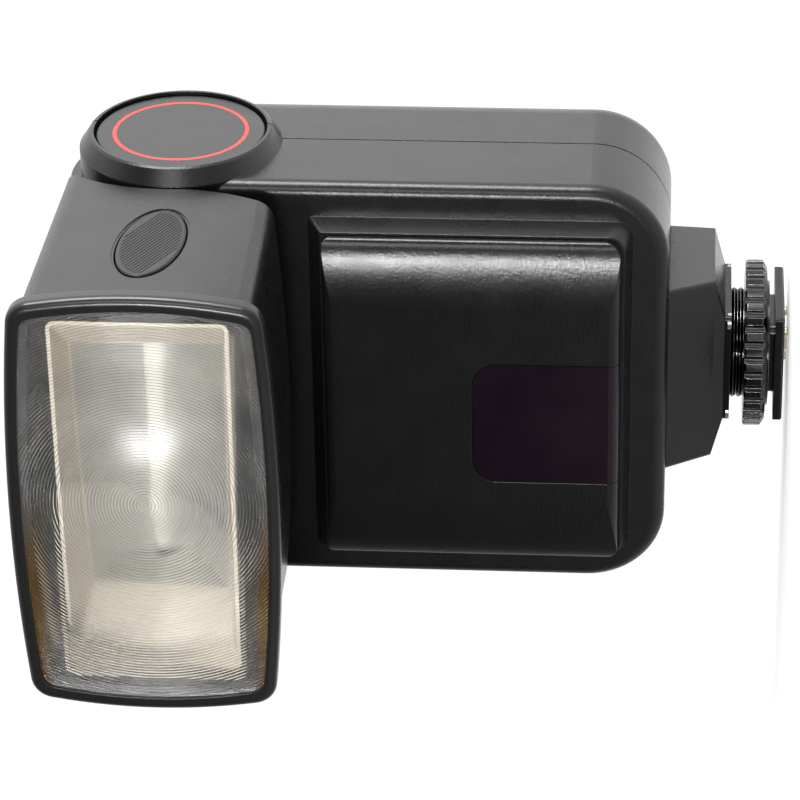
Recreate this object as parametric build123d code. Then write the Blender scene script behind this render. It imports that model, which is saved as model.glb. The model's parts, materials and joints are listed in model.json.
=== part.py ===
"""Shoe-mount speedlight flash, built as an assembly of separate pieces.

Millimetres. +Z is up out of the camera's shoe, -Y is the way the flash points, +X is its right
side as seen from the front. The origin is the centre of the foot's sole.
"""
from build123d import *
import math
import os

# ---- foot and locking ring -------------------------------------------------------------------
FOOT_WIDTH = 18.6           # accessory shoe standard
FOOT_DEPTH = 18.8
FOOT_THICK = 1.5
FOOT_CORNER = 0.5
SOLE_EDGE = 0.25
NECK_WIDTH = 12.4
NECK_DEPTH = 12.7
NECK_CORNER = 1.5
NECK_TOP = 2.6
SPIGOT_R = 5.5
COLLAR_R = 9.0
COLLAR_TOP = 8.5
THREAD_PITCH = 1.0
THREAD_DEPTH = 0.35
RING_R = 13.5
RING_BOTTOM = 2.8
RING_TOP = 6.3
RING_RAMP = (1.0, 0.7)      # the chamfer on its lower edge: inwards, upwards
RING_CHAMFER = 0.3
RING_FLUTES = 34
FLUTE_R = 0.62
FLUTE_CENTRE = 13.6
RING_CLEARANCE = 0.1
WASHER_R = 10.2
WASHER_THICK = 0.4
PIN_REACH = 0.8             # how far the contact pins stand below the sole
PIN_LENGTH = 2.3
PIN_WELL = 2.4             # depth of the pins' holes in the sole
PIN_PLACES = [(0, 0, 1.15), (4.1, 3.4, 0.75), (-4.1, 3.4, 0.75), (4.1, -3.6, 0.75)]
BASE_PLATE = 9.4            # half width of the steel plate above the collar
BASE_PLATE_REAR = 10.2
BASE_PLATE_TOP = 9.5
BLOCK_HIP = 11.3            # height where the foot block starts to narrow
BLOCK_HIP_HALF = 15.9
BLOCK_HIP_FRONT = -10.0
BLOCK_TOP_HALF = 16.2
BLOCK_TOP_FRONT = -14.2
BLOCK_EDGE = 0.9
FOOT_SCREWS = [(8.1, -8.2), (-8.1, -8.2), (8.1, 8.9), (-8.1, 8.9)]
FOOT_SCREW_R = 0.7
FOOT_SCREW_HEAD = 1.3
FOOT_SCREW_SUNK = 0.6       # thickness of the head, let into the plate
FOOT_SCREW_END = 14.0
SCREW_HOLE = 0.03           # how much wider the holes are
BASE_PLATE_CORNER = 0.8
BLOCK_HOLLOW = (-12.5, 12.5, -7.5, 8.0, 13.0)       # x0, x1, y0, y1 and its lower end

# ---- body ------------------------------------------------------------------------------------
BODY_HALF = 35.4
BODY_FRONT = -17.0
BODY_REAR = 18.0
BODY_BOTTOM = 18.6
BODY_CORNER = 12.5
FRONT_ROUND = 2.0
INNER_ROUND = 0.8           # least rounding left inside the walls
REAR_ROUND = 7.0
WALL = 2.2
SEAM = -0.4
SEAM_GAP = 0.3
LIP = 1.0                   # inset of the tongue that closes the seam
LIP_REACH = 2.0
CAVITY_TOP = 80.0
STOCK_TOP = 125.0           # well above everything, for cutting shapes
SCREW_SHANK_R = 0.9
SCREW_HEAD_R = 1.7
SCREW_TIP = -12.0
SCREW_SHOULDER = 11.0
SCREW_HEAD_REAR = 12.2
BOSS_R = 2.0

# ---- tilt joint ------------------------------------------------------------------------------
PIVOT_Y = -2.5
PIVOT_Z = 96.7
EAR_R = 16.2
EAR_INNER = 30.4
EAR_OUTER = 35.3
EAR_SHOULDER = 92.0
SHOULDER_ROUND = 9.0
CRADLE_R = 18.6
CRADLE_TOP = 85.0
RIM_X = 37.95
RIM_R = 14.6
CAP_R = 13.5
CAP_GAP = 0.35
CAP_FLOOR = 35.6
CAP_FACE = 37.45
RING_LINE_R = 10.55
RING_LINE_WIDTH = 0.62
RING_LINE_DEEP = 0.4
CAP_EDGE = 0.3
STUB_R = 6.0
STUB_BORE = 4.0
STUB_END = 26.5
STUB_FLANGE_R = 8.5
STUB_FLANGE = 34.4
RUNNING = 0.05              # radial clearance of a turning fit
SEAT = 0.02                 # clearance between two pieces fixed to each other

# ---- front panel -----------------------------------------------------------------------------
PLINTH_BASE = (29.9, 24.3, 75.2)      # half width, bottom, top where it leaves the body
PLINTH_FACE = (28.9, 25.5, 73.2)      # the same where it meets the panel
PLINTH_CORNER = 2.6
PLINTH_TOP_CORNER = 0.6
PANEL_BACK = -20.5
PANEL_FRONT = -24.0
PANEL_HALF = 28.5
PANEL_FLAT = 17.5          # half width of the flat between the two rolled edges
PANEL_BOTTOM = 26.0
PANEL_TOP = 72.8
PANEL_CORNER = 2.6
PANEL_TOP_CORNER = 1.3
PANEL_EDGE = 1.7
PANEL_GAP = 0.4
PANEL_BROW = 0.4            # flat band at the foot of each rolled edge
PEDESTAL_INSET = 0.9
WINDOW_LEFT = -13.3
WINDOW_RIGHT = 7.9
WINDOW_TOP = 49.2
WINDOW_CORNER = 4.0
WINDOW_THICK = 1.5
WINDOW_GAP = 0.12
LAMP_X = -2.6
LAMP_Z = 35.0
LAMP_R = 7.1
LAMP_LENS = 1.2            # thickness of the lamp's lens
LAMP_WALL = 1.2
LAMP_FLOOR = -16.8
EMITTER_R = 2.4
EMITTER_LENGTH = 1.4

# ---- head ------------------------------------------------------------------------------------
HEAD_WALL = 2.0
HOOD_FRONT = -55.4
HOOD_STOCK = -8.0
HOOD_FRONT_SECTION = (35.2, 1.7, 97.3, 19.3, 1.8)    # half width, side bulge, mid, half height, crown
HOOD_REAR_SECTION = (35.2, 0.8, 96.9, 18.5, 1.8)
HOOD_CORNER = 3.0
HOOD_TIP = (-11.4, 113.6)              # (Y, Z) places along its rear edge, from the top down
HOOD_UPPER = (-16.9, 106.6)
HOOD_WAIST = (-19.1, 97.0)
HOOD_LOWER = (-19.6, 87.6)
HOOD_HEEL = (-22.4, 79.0)
BARREL_R = 17.9
BARREL_HALF = 29.9
HEAD_SPLIT = -14.0
NECK_FRONT = -21.4
NECK_REAR = -11.0
NECK_LOW = 86.0
NECK_HIGH = 109.5
BEZEL_FRONT = -58.0
BEZEL_REAR = -54.8
BEZEL_SECTION = (36.3, 2.0, 97.2, 20.8, 1.8)
BEZEL_CORNER = 3.8
BEZEL_ROUND = 1.3
BEZEL_REAR_ROUND = 0.5
LENS_SECTION = (34.0, 1.9, 97.1, 18.8, 1.6)
LENS_CORNER = 2.4
LENS_FRONT = -57.4
LENS_THICK = 1.5
LENS_LEDGE = 1.2

# ---- zoom mechanism --------------------------------------------------------------------------
MOUTH_Y = -44.2
MOUTH_HALF_X = 24.6
MOUTH_HALF_Z = 12.6
OPTIC_Z = 97.1
FOCUS = 3.1
REFLECTOR_WALL = 0.8
CARRIAGE_HALF = 27.2
FUNNEL_FRONT = -54.6
FUNNEL_REAR = -44.9
FUNNEL_MOUTH = (30.5, 13.2)           # half width and half height of its opening in front
FUNNEL_THROAT = (24.8, 12.8)          # the same where it meets the reflector
FUNNEL_WALL = 0.6
TUBE_R = 1.9
TUBE_HALF = 26.4
TUBE_CAP = 1.8
SIDE_ROD_X = 29.3
GUIDE_Z = 85.0
ROD_R = 1.25
FRAME_RIM = 2.4             # how far the carriage stands out above and below the mouth
FRAME_THICK = 1.6
CLAW_LENGTH = 3.4
NUT_BLOCK = (-31.6, 3.0)    # its outer end and half height
ARM_BLOCK = (31.4, 2.6, 4.0)           # outer end, reach below and above the guide rod
LIP_RIM = (2.1, 1.6)        # the card frame beyond the mouth, sideways and upwards
LIP_THICK = 0.5
ROD_FRONT = -48.6
ROD_REAR = -23.5
SCREW_R = 1.5
SCREW_FRONT = -47.0
SCREW_REAR = -28.4
JOURNAL_R = 0.7
BRACKET_FRONT = -48.4
BRACKET_THICK = 1.2
BRACKET_HALF = 2.4
BRACKET_INSET = 1.6         # how far a post reaches inwards past its rod
BRACKET_WALLS = (31.7, 31.9, 32.4)     # outer faces: front right, rear right, front left
BRACKET_REAR = -25.0
MOTOR_R = 2.7
MOTOR_REAR = -22.2
COIL_R = 3.2
COIL_ENDS = (8.5, 19.5)
COIL_PLACE = (9.6, 97.0)
HEAD_BOARD = [(-22, 22, 5.0, 6.4, 88.5, 105.5), (-14, -4, 6.4, 8.2, 92, 102), (-1, 5, 6.4, 7.6, 94, 99)]

# ---- tilt release button ---------------------------------------------------------------------
BUTTON_Y = -37.6
BUTTON_Z = 97.0
BUTTON_HALF_Y = 11.1
BUTTON_HALF_Z = 5.0
BUTTON_TURN = -5.0         # degrees, its long axis dips towards the front
BUTTON_FACE = 35.3
BUTTON_BACK = 33.5
BUTTON_GAP = 0.22
BUTTON_EDGE = 0.4
DISH_GAP = 0.6             # width of the shallow dish round the button
DISH_DEEP = 0.35
STEM_R = 2.4
STEM_LENGTH = 4.9
BRIDGE_X = (28.4, 29.4)    # the plate behind the button
BRIDGE_REACH = 32.4        # where its end walls meet the hood
BRIDGE_WALL = 0.8
BRIDGE_FRONT = -49.7
BRIDGE_REAR = -23.5
BRIDGE_HALF = 7.0
SPRING_WIRE = 0.3
SPRING_FIRST = 29.75       # middle of the first of three turns
SPRING_STEP = 0.95

# ---- rear console ----------------------------------------------------------------------------
CONSOLE_HALF = 25.0
CONSOLE_BOTTOM = 31.0
CONSOLE_TOP = 79.0
CONSOLE_REAR = 21.0
LCD_HALF = 20.0
LCD_BOTTOM = 57.0
LCD_TOP = 74.5
KEY_Z = 48.5
KEY_X = (-17.0, -5.7, 5.7, 17.0)
KEY_NAMES = ("zoom_key", "mode_key", "backlight_key", "set_key")
KEY_HALF = (4.2, 2.4)
KEY_PROUD = 1.1
KEY_GAP = 0.15
TEST_X = 17.0
TEST_R = 3.2
LOWER_ROW_Z = 38.5
SWITCH_X = -14.0
SWITCH_TRAVEL = 4.0
SWITCH_SLOT = (6.0, 2.4)               # half sizes of the recess the knob slides in
SWITCH_TAIL_SLOT = (4.2, 1.1)
SWITCH_KNOB = (3.4, 2.2)
SWITCH_TAIL = (1.8, 1.0)
SWITCH_PROUD = 0.9
LAMP_BEAD_X = 6.0
LAMP_BEAD_R = 1.5
LAMP_BEAD_PROUD = 0.3
CONSOLE_CORNER = 4.0
CONSOLE_EDGE = 1.0
KEY_CORNER = 1.6
KEY_EDGE = 0.4
SWITCH_DEEP = 0.8
KEY_LIFT = 0.9              # free space behind a key
COVER_THICK = 0.9           # the display's clear cover
COVER_LEDGE = 1.5

# ---- cells and electronics -------------------------------------------------------------------
CELL_R = 7.2
CELL_X = (-21.85, -7.2)
CELL_Y = (-7.0, 7.9)
CELL_BOTTOM = 23.9
CELL_LENGTH = 50.5
DOOR_FRONT = -12.5
DOOR_REAR = 9.5
DOOR_TOP = 77.0
DOOR_HINGE_Z = 35.1
DOOR_HINGE_X = -34.3
DOOR_BARREL_R = 1.1
DOOR_THICK = 1.8
DOOR_CORNER = 2.5
DOOR_PIN_R = 0.5
DOOR_PIN = (-14.5, 11.5)    # its two ends
DOOR_GRIP = (5, 5.0, 1.3, 0.3, 0.4)   # grooves: how many, first from the top, pitch, half width, depth
DOOR_GAP = 0.2
CELL_NUB = (2.6, 1.2)       # radius and height of a cell's raised contact
TRAY = [(-22.5, 1.6, -14.5, 15.5, 20.85, 21.85), (0.6, 1.6, -14.5, 15.5, 21.85, 74.9),
        (-28.5, 1.6, -14.5, 15.5, 74.9, 75.7)]          # floor, wall and roof
TRAY_TOP = 74.85
SPRING_CONE = (4.6, 3.0, 2.0)          # lower radius, upper radius, height
STRIP = (4, 5)              # contact strips: half width, reach past the cells' middles
CAPACITOR = (10.4, 24.0, 64.0, 18.6, 0.5)            # radius, bottom, top, X, Y
MAIN_BOARD = [(3.0, 29.0, -14.0, -12.6, 26.0, 74.0), (10, 18, -12.6, -11.0, 66.0, 73.0)]
CONTROL_BOARD = [(3.0, 28.0, 13.6, 15.2, 30.0, 74.0), (8, 18, 12.2, 13.6, 46, 56)]
TRANSFORMER = [(19.5, 29.0, -7.0, 7.0, 65.5, 74.5), (17.5, 31.0, -4.5, 4.5, 66.5, 73.5)]
SCREW_PLACES = [(32.2, 84.5), (-32.2, 84.5), (31.5, 31.4), (-31.5, 31.4)]


# ---- shape helpers ---------------------------------------------------------------------------
def box(x0, x1, y0, y1, z0, z1):
    """A box between two corners."""
    middle = Pos((x0 + x1) / 2, (y0 + y1) / 2, (z0 + z1) / 2)
    return middle * Box(x1 - x0, y1 - y0, z1 - z0)


def joined_boxes(corners):
    """One solid from boxes that touch, such as a board and its chips."""
    first, *others = [box(*corner) for corner in corners]
    for other in others:
        first += other
    return first


def span(a0, a1, b0, b1, corner=0.0):
    """A flat rectangle between two corners, with its corners rounded."""
    flat = Pos((a0 + a1) / 2, (b0 + b1) / 2) * Rectangle(a1 - a0, b1 - b0)
    return fillet(flat.vertices(), corner) if corner else flat


def along_x(outline, x0, x1):
    """Extrude a (Y, Z) outline from x0 to x1."""
    return extrude(Plane.YZ.offset(x0) * outline, amount=x1 - x0)


def along_y(outline, y0, y1):
    """Extrude an (X, Z) outline from y0 to y1."""
    return extrude(Plane.XZ.offset(-y1) * outline, amount=y1 - y0)


def along_z(outline, z0, z1):
    """Extrude an (X, Y) outline from z0 to z1."""
    return extrude(Plane.XY.offset(z0) * outline, amount=z1 - z0)


def rod_x(r, x0, x1, y, z):
    return along_x(Pos(y, z) * Circle(r), x0, x1)


def rod_y(r, y0, y1, x, z):
    return along_y(Pos(x, z) * Circle(r), y0, y1)


def rod_z(r, z0, z1, x, y):
    return along_z(Pos(x, y) * Circle(r), z0, z1)


def both_sides(shape):
    """The shape and its mirror image across the middle plane."""
    return shape + mirror(shape, about=Plane.YZ)


def polygon(points):
    return make_face(Polyline(*points, close=True))


# ---- foot ------------------------------------------------------------------------------------
def shoe_foot():
    """Foot plate, neck and the spigot that carries the threaded collar."""
    plate = along_z(span(-FOOT_WIDTH / 2, FOOT_WIDTH / 2, -FOOT_DEPTH / 2, FOOT_DEPTH / 2,
                         FOOT_CORNER), 0, FOOT_THICK)
    plate = chamfer(plate.faces().sort_by(Axis.Z)[0].edges(), SOLE_EDGE)
    neck = along_z(span(-NECK_WIDTH / 2, NECK_WIDTH / 2, -NECK_DEPTH / 2, NECK_DEPTH / 2,
                         NECK_CORNER),
                   FOOT_THICK, NECK_TOP)
    foot = plate + neck + rod_z(SPIGOT_R, NECK_TOP, COLLAR_TOP, 0, 0)
    for x, y, r in PIN_PLACES:
        foot -= rod_z(r + RUNNING, -1, PIN_WELL, x, y)
    return foot


def contact_pins():
    """Sprung contacts that stand below the sole, the wide one in the middle."""
    pins = []
    for x, y, r in PIN_PLACES:
        pin = rod_z(r, -PIN_REACH, PIN_LENGTH - PIN_REACH, x, y)
        pins.append(fillet(pin.edges().sort_by(Axis.Z)[0], r * 0.5))
    return Compound(pins)


def threaded_collar():
    """Collar with the thread that the lock ring runs on."""
    root = COLLAR_R - THREAD_DEPTH
    turns = int((COLLAR_TOP - NECK_TOP) / THREAD_PITCH)
    start = COLLAR_TOP - turns * THREAD_PITCH
    profile = [(SPIGOT_R + SEAT, NECK_TOP), (root, NECK_TOP)]
    for i in range(turns):
        profile += [(root, start + i * THREAD_PITCH), (COLLAR_R, start + (i + 0.5) * THREAD_PITCH)]
    profile += [(root, COLLAR_TOP), (SPIGOT_R + SEAT, COLLAR_TOP)]
    return revolve(Plane.XZ * polygon(profile), Axis.Z)


def lock_ring():
    """Knurled nut that clamps the foot in the shoe."""
    inner = COLLAR_R + RING_CLEARANCE
    inwards, upwards = RING_RAMP
    profile = [(inner, RING_BOTTOM), (RING_R - inwards, RING_BOTTOM), (RING_R, RING_BOTTOM + upwards),
               (RING_R, RING_TOP - RING_CHAMFER), (RING_R - RING_CHAMFER, RING_TOP), (inner, RING_TOP)]
    ring = revolve(Plane.XZ * polygon(profile), Axis.Z)
    flute = rod_z(FLUTE_R, RING_BOTTOM - 1, RING_TOP + 1, FLUTE_CENTRE, 0)
    for i in range(RING_FLUTES):
        ring -= Rot(0, 0, 360 / RING_FLUTES * i) * flute
    return ring


def ring_washer():
    """Thin pressure washer under the lock ring."""
    inner = COLLAR_R + RING_CLEARANCE
    top = RING_BOTTOM - RUNNING
    return rod_z(WASHER_R, top - WASHER_THICK, top, 0, 0) - rod_z(inner, 0, 4, 0, 0)


def foot_screw(grow):
    """The four screws from the base plate into the foot block, or their holes."""
    under_head = COLLAR_TOP + FOOT_SCREW_SUNK
    return [rod_z(FOOT_SCREW_HEAD + grow, COLLAR_TOP, under_head, x, y)
            + rod_z(FOOT_SCREW_R + grow, under_head, FOOT_SCREW_END + grow, x, y) for x, y in FOOT_SCREWS]


def shoe_base_plate():
    """Steel plate between the collar and the foot block."""
    plate = along_z(span(-BASE_PLATE, BASE_PLATE, -BASE_PLATE, BASE_PLATE_REAR, BASE_PLATE_CORNER),
                    COLLAR_TOP, BASE_PLATE_TOP)
    for hole in foot_screw(SCREW_HOLE):
        plate -= hole
    return plate


def foot_block():
    """Moulded block that carries the foot, narrow at its lower end and sloped at the front."""
    levels = [(BLOCK_TOP_HALF, BLOCK_TOP_FRONT, BODY_BOTTOM), (BLOCK_HIP_HALF, BLOCK_HIP_FRONT, BLOCK_HIP),
              (BASE_PLATE, -BASE_PLATE, BASE_PLATE_TOP)]
    sections = [(Plane.XY.offset(z) * span(-half, half, front, BASE_PLATE_REAR, BLOCK_EDGE)).face()
                for half, front, z in levels]
    block = loft(sections[:2], ruled=True) + loft(sections[1:], ruled=True)
    block -= box(*BLOCK_HOLLOW, BODY_BOTTOM)
    for hole in foot_screw(SCREW_HOLE):
        block -= hole
    return block


# ---- body shells -----------------------------------------------------------------------------
def body_form(inset):
    """The body's outer form, with its two ears, shrunk by inset all round."""
    outline = span(-BODY_HALF + inset, BODY_HALF - inset, BODY_BOTTOM + inset, STOCK_TOP)
    outline = fillet(outline.vertices().group_by(Axis.Y)[0], BODY_CORNER - inset)
    form = along_y(outline, BODY_FRONT + inset, BODY_REAR - inset)

    def rim(face_index):
        edges = form.faces().sort_by(Axis.Y)[face_index].edges()
        return edges.filter_by(lambda e: e.center().Z < STOCK_TOP - 1)
    form = fillet(rim(0), max(FRONT_ROUND - inset, INNER_ROUND))
    form = fillet(rim(-1), REAR_ROUND - inset)
    shoulder = span(BODY_FRONT - 5, BODY_REAR - inset, 0, EAR_SHOULDER - inset)
    shoulder = fillet(shoulder.vertices().sort_by(Axis.X)[-2:].sort_by(Axis.Y)[-1], SHOULDER_ROUND)
    side = shoulder + Pos(PIVOT_Y, PIVOT_Z) * Circle(EAR_R - inset)
    form &= along_x(side, -40, 40)
    form += both_sides(rod_x(EAR_R - inset, EAR_INNER + inset, EAR_OUTER - inset, PIVOT_Y, PIVOT_Z))
    reach = EAR_INNER + inset
    cradle = rod_x(CRADLE_R + inset, -reach, reach, PIVOT_Y, PIVOT_Z)
    cradle += box(-reach, reach, -40, 40, CRADLE_TOP - inset, STOCK_TOP)
    return form - cradle


def pivot_ring(points):
    """A ring turned about the tilt axis on the +X side, from (X, radius) points."""
    placed = [(x, PIVOT_Z + r) for x, r in points]
    section = Plane.XZ.offset(-PIVOT_Y) * polygon(placed)
    return revolve(section, Axis((0, PIVOT_Y, PIVOT_Z), (1, 0, 0)))


def plinth():
    """Raised step on the front shell that carries the front panel."""
    sections = []
    for (half, low, high), y in ((PLINTH_BASE, BODY_FRONT), (PLINTH_FACE, PANEL_BACK)):
        flat = span(-half, half, low, high)
        flat = fillet(flat.vertices().group_by(Axis.Y)[0], PLINTH_CORNER)
        flat = fillet(flat.vertices().group_by(Axis.Y)[-1], PLINTH_TOP_CORNER)
        sections.append((Plane.XZ.offset(-y) * flat).face())
    return loft(sections, ruled=True)


def shell_screw(grow):
    """Long screws that pull the rear shell onto the front shell, or their holes."""
    screws = []
    for x, z in SCREW_PLACES:
        shank = rod_y(SCREW_SHANK_R + grow, SCREW_TIP - grow, SCREW_SHOULDER, x, z)
        reach = BODY_REAR + 12.0 if grow else SCREW_HEAD_REAR
        screws.append(shank + rod_y(SCREW_HEAD_R + grow, SCREW_SHOULDER, reach, x, z))
    return screws


def battery_opening(grow):
    """The opening for the cells in the -X wall, or the door that fills it."""
    corner = span(DOOR_FRONT - grow, DOOR_REAR + grow, DOOR_HINGE_Z - DOOR_BARREL_R - grow,
                  DOOR_TOP + grow)
    corner = fillet(corner.vertices().group_by(Axis.Y)[-1], DOOR_CORNER)
    return along_x(corner, -BODY_HALF - 1, -BODY_HALF + 3)


def body_shells():
    """The two halves of the body, split on the seam, with a tongue across the split."""
    rim = pivot_ring([(EAR_OUTER - 1, 10), (EAR_OUTER - 1, EAR_R), (EAR_OUTER, EAR_R),
                      (RIM_X - 0.3, RIM_R + 0.1), (RIM_X, RIM_R - 0.3), (RIM_X, 10)])
    outer = body_form(0) + both_sides(rim) + plinth()
    cavity = body_form(WALL) & box(-40, 40, -40, 40, 0, CAVITY_TOP)
    outer -= both_sides(rod_x(CAP_R + CAP_GAP, CAP_FLOOR, RIM_X + 1, PIVOT_Y, PIVOT_Z))
    outer -= both_sides(rod_x(STUB_R + SEAT, EAR_INNER - 1, RIM_X, PIVOT_Y, PIVOT_Z))
    outer -= both_sides(rod_x(STUB_FLANGE_R + RUNNING, STUB_FLANGE, RIM_X, PIVOT_Y, PIVOT_Z))
    outer -= cavity
    for x, z in SCREW_PLACES[2:]:
        outer += rod_y(BOSS_R, BODY_FRONT + WALL, BODY_REAR - WALL, x, z)
    for hole in shell_screw(RUNNING):
        outer -= hole
    outer -= rod_y(LAMP_R + 0.1, BODY_FRONT - 8, BODY_FRONT + WALL + 1, LAMP_X, LAMP_Z)
    outer -= battery_opening(DOOR_GAP)
    outer -= rod_y(DOOR_PIN_R + SEAT, DOOR_PIN[0] - 0.1, DOOR_PIN[1] + 0.1, DOOR_HINGE_X, DOOR_HINGE_Z)
    ahead = box(-50, 50, -50, SEAM - SEAM_GAP / 2, 0, 130)
    behind = box(-50, 50, SEAM + SEAM_GAP / 2, 50, 0, 130)
    tongue = body_form(LIP) & box(-50, 50, SEAM - SEAM_GAP / 2, SEAM + LIP_REACH, 0, 130)
    tongue &= outer
    front = (outer & ahead) + tongue
    rear = (outer & behind) - tongue
    return front, rear


def side_cap():
    """Round cover over the end of the pivot, with a groove for the coloured ring."""
    cap = rod_x(CAP_R, CAP_FLOOR, CAP_FACE, PIVOT_Y, PIVOT_Z)
    cap = fillet(cap.faces().sort_by(Axis.X)[-1].edges(), CAP_EDGE)
    return cap - ring_line(0.01)


def ring_line(grow):
    """Thin coloured ring let into a side cap."""
    half = RING_LINE_WIDTH / 2 + grow
    outer = rod_x(RING_LINE_R + half, CAP_FACE - RING_LINE_DEEP, CAP_FACE, PIVOT_Y, PIVOT_Z)
    return outer - rod_x(RING_LINE_R - half, 0, 50, PIVOT_Y, PIVOT_Z)


def pivot_stub():
    """Hollow stub axle that the head turns on, flanged under the side cap."""
    stub = rod_x(STUB_R, STUB_END, CAP_FLOOR, PIVOT_Y, PIVOT_Z)
    stub += rod_x(STUB_FLANGE_R, STUB_FLANGE, CAP_FLOOR, PIVOT_Y, PIVOT_Z)
    return stub - rod_x(STUB_BORE, 0, 50, PIVOT_Y, PIVOT_Z)


# ---- front panel -----------------------------------------------------------------------------
def panel_form():
    """Cushion-shaped cover: long edges rolled back, ends lightly rounded."""
    base = PANEL_BACK - PANEL_GAP
    brow = base - PANEL_BROW
    roll_x, roll_y = PANEL_HALF - PANEL_FLAT, brow - PANEL_FRONT
    pull = 0.5523            # makes a cubic curve follow a quarter of an ellipse

    def rolled(side):
        return Bezier((side * PANEL_HALF, brow), (side * PANEL_HALF, brow - pull * roll_y),
                      (side * (PANEL_FLAT + (1 - pull) * roll_x), PANEL_FRONT),
                      (side * PANEL_FLAT, PANEL_FRONT))
    outline = [rolled(1), rolled(-1),
               Line((-PANEL_FLAT, PANEL_FRONT), (PANEL_FLAT, PANEL_FRONT)),
               Line((PANEL_HALF, brow), (PANEL_HALF, base)),
               Line((PANEL_HALF, base), (-PANEL_HALF, base)),
               Line((-PANEL_HALF, base), (-PANEL_HALF, brow))]
    plan = along_z(make_face(outline), PANEL_BOTTOM, PANEL_TOP)
    ends = span(PANEL_FRONT, base + 5, PANEL_BOTTOM, PANEL_TOP)
    ends = fillet(ends.vertices().group_by(Axis.X)[0], PANEL_EDGE)
    face = span(-PANEL_HALF, PANEL_HALF, PANEL_BOTTOM, PANEL_TOP)
    face = fillet(face.vertices().group_by(Axis.Y)[0], PANEL_CORNER)
    face = fillet(face.vertices().group_by(Axis.Y)[-1], PANEL_TOP_CORNER)
    return plan & along_x(ends, -40, 40) & along_y(face, -40, 0)


def window_outline(grow):
    """Outline of the window in the panel, open at the panel's lower edge."""
    flat = span(WINDOW_LEFT - grow, WINDOW_RIGHT + grow, PANEL_BOTTOM - 5, WINDOW_TOP + grow)
    return fillet(flat.vertices().group_by(Axis.Y)[-1], WINDOW_CORNER)


def front_panel_and_window():
    form = panel_form()
    back = PANEL_BACK - PANEL_GAP
    inset = PEDESTAL_INSET
    pedestal = along_y(span(-PANEL_HALF + inset, PANEL_HALF - inset, PANEL_BOTTOM + inset,
                            PANEL_TOP - inset, 2.0), back, PANEL_BACK)
    sheet = Pos(0, WINDOW_THICK, WINDOW_THICK) * form
    window = (form & along_y(window_outline(0), -40, back)) - sheet
    seat = Pos(0, WINDOW_THICK + SEAT, WINDOW_THICK + SEAT) * form
    slot = along_y(window_outline(WINDOW_GAP), PANEL_FRONT - 1, back + 2) - seat
    well = along_y(span(WINDOW_LEFT + 1, WINDOW_RIGHT - 1, PANEL_BOTTOM + WINDOW_THICK + 0.6,
                        WINDOW_TOP - 1, 3.0), PANEL_FRONT - 1, PANEL_BACK + 1)
    return (form - slot) + pedestal - well, window


def assist_lamp_lens():
    """Condenser of the focus-assist lamp behind the window."""
    back = PANEL_BACK + LAMP_LENS
    return rod_y(LAMP_R, PANEL_BACK, back, LAMP_X, LAMP_Z)


def assist_lamp_holder():
    """Tube with the lamp's emitter at its rear."""
    front = PANEL_BACK + LAMP_LENS
    tube = rod_y(LAMP_R, front, LAMP_FLOOR + LAMP_WALL, LAMP_X, LAMP_Z)
    tube -= rod_y(LAMP_R - LAMP_WALL, front, LAMP_FLOOR, LAMP_X, LAMP_Z)
    return tube + rod_y(EMITTER_R, LAMP_FLOOR - EMITTER_LENGTH, LAMP_FLOOR, LAMP_X, LAMP_Z)


# ---- head ------------------------------------------------------------------------------------
def crowned(section, corner, inset=0.0):
    """Rectangle whose four sides bulge: half width, side bulge, middle Z, half height, crown."""
    half, bulge, mid, height, crown = section
    half, height = half - inset, height - inset
    east, north = half - bulge, height - crown
    curves = [ThreePointArc((-east, mid + north), (0, mid + height), (east, mid + north)),
              ThreePointArc((east, mid + north), (half, mid), (east, mid - north)),
              ThreePointArc((east, mid - north), (0, mid - height), (-east, mid - north)),
              ThreePointArc((-east, mid - north), (-half, mid), (-east, mid + north))]
    face = make_face(curves)
    return fillet(face.vertices(), max(corner - inset, 0.5))


def at_depth(outline, y):
    return (Plane.XZ.offset(-y) * outline).face()


def hood_side(inset):
    """Side view of the hood: its rear edge bends round the ear, then runs down and forward."""
    tip, upper, waist, lower, heel = [(y - inset, z) for y, z in
                                      (HOOD_TIP, HOOD_UPPER, HOOD_WAIST, HOOD_LOWER, HOOD_HEEL)]
    ahead, beneath, top_rear = -70, 70, (tip[0] + 3.0, STOCK_TOP)
    curves = [Line((ahead, STOCK_TOP), top_rear), Line(top_rear, tip),
              ThreePointArc(tip, upper, waist), ThreePointArc(waist, lower, heel),
              Line(heel, (heel[0], beneath)), Line((heel[0], beneath), (ahead, beneath)),
              Line((ahead, beneath), (ahead, STOCK_TOP))]
    return make_face(curves)


def head_form(inset):
    """Hood, rear barrel and the neck between them, shrunk by inset."""
    front = at_depth(crowned(HOOD_FRONT_SECTION, HOOD_CORNER, inset), HOOD_FRONT)
    rear = at_depth(crowned(HOOD_REAR_SECTION, HOOD_CORNER, inset), HOOD_STOCK)
    hood = loft([front, rear], ruled=True) & along_x(hood_side(inset), -40, 40)
    reach = BARREL_HALF - inset
    barrel = rod_x(BARREL_R - inset, -reach, reach, PIVOT_Y, PIVOT_Z)
    neck = box(-reach, reach, NECK_FRONT - inset, NECK_REAR, NECK_LOW + inset, NECK_HIGH)
    return hood + barrel + neck


def button_outline(grow):
    oval = Ellipse(BUTTON_HALF_Y + grow, BUTTON_HALF_Z + grow)
    return Pos(BUTTON_Y, BUTTON_Z) * Rot(0, 0, BUTTON_TURN) * oval


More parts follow.
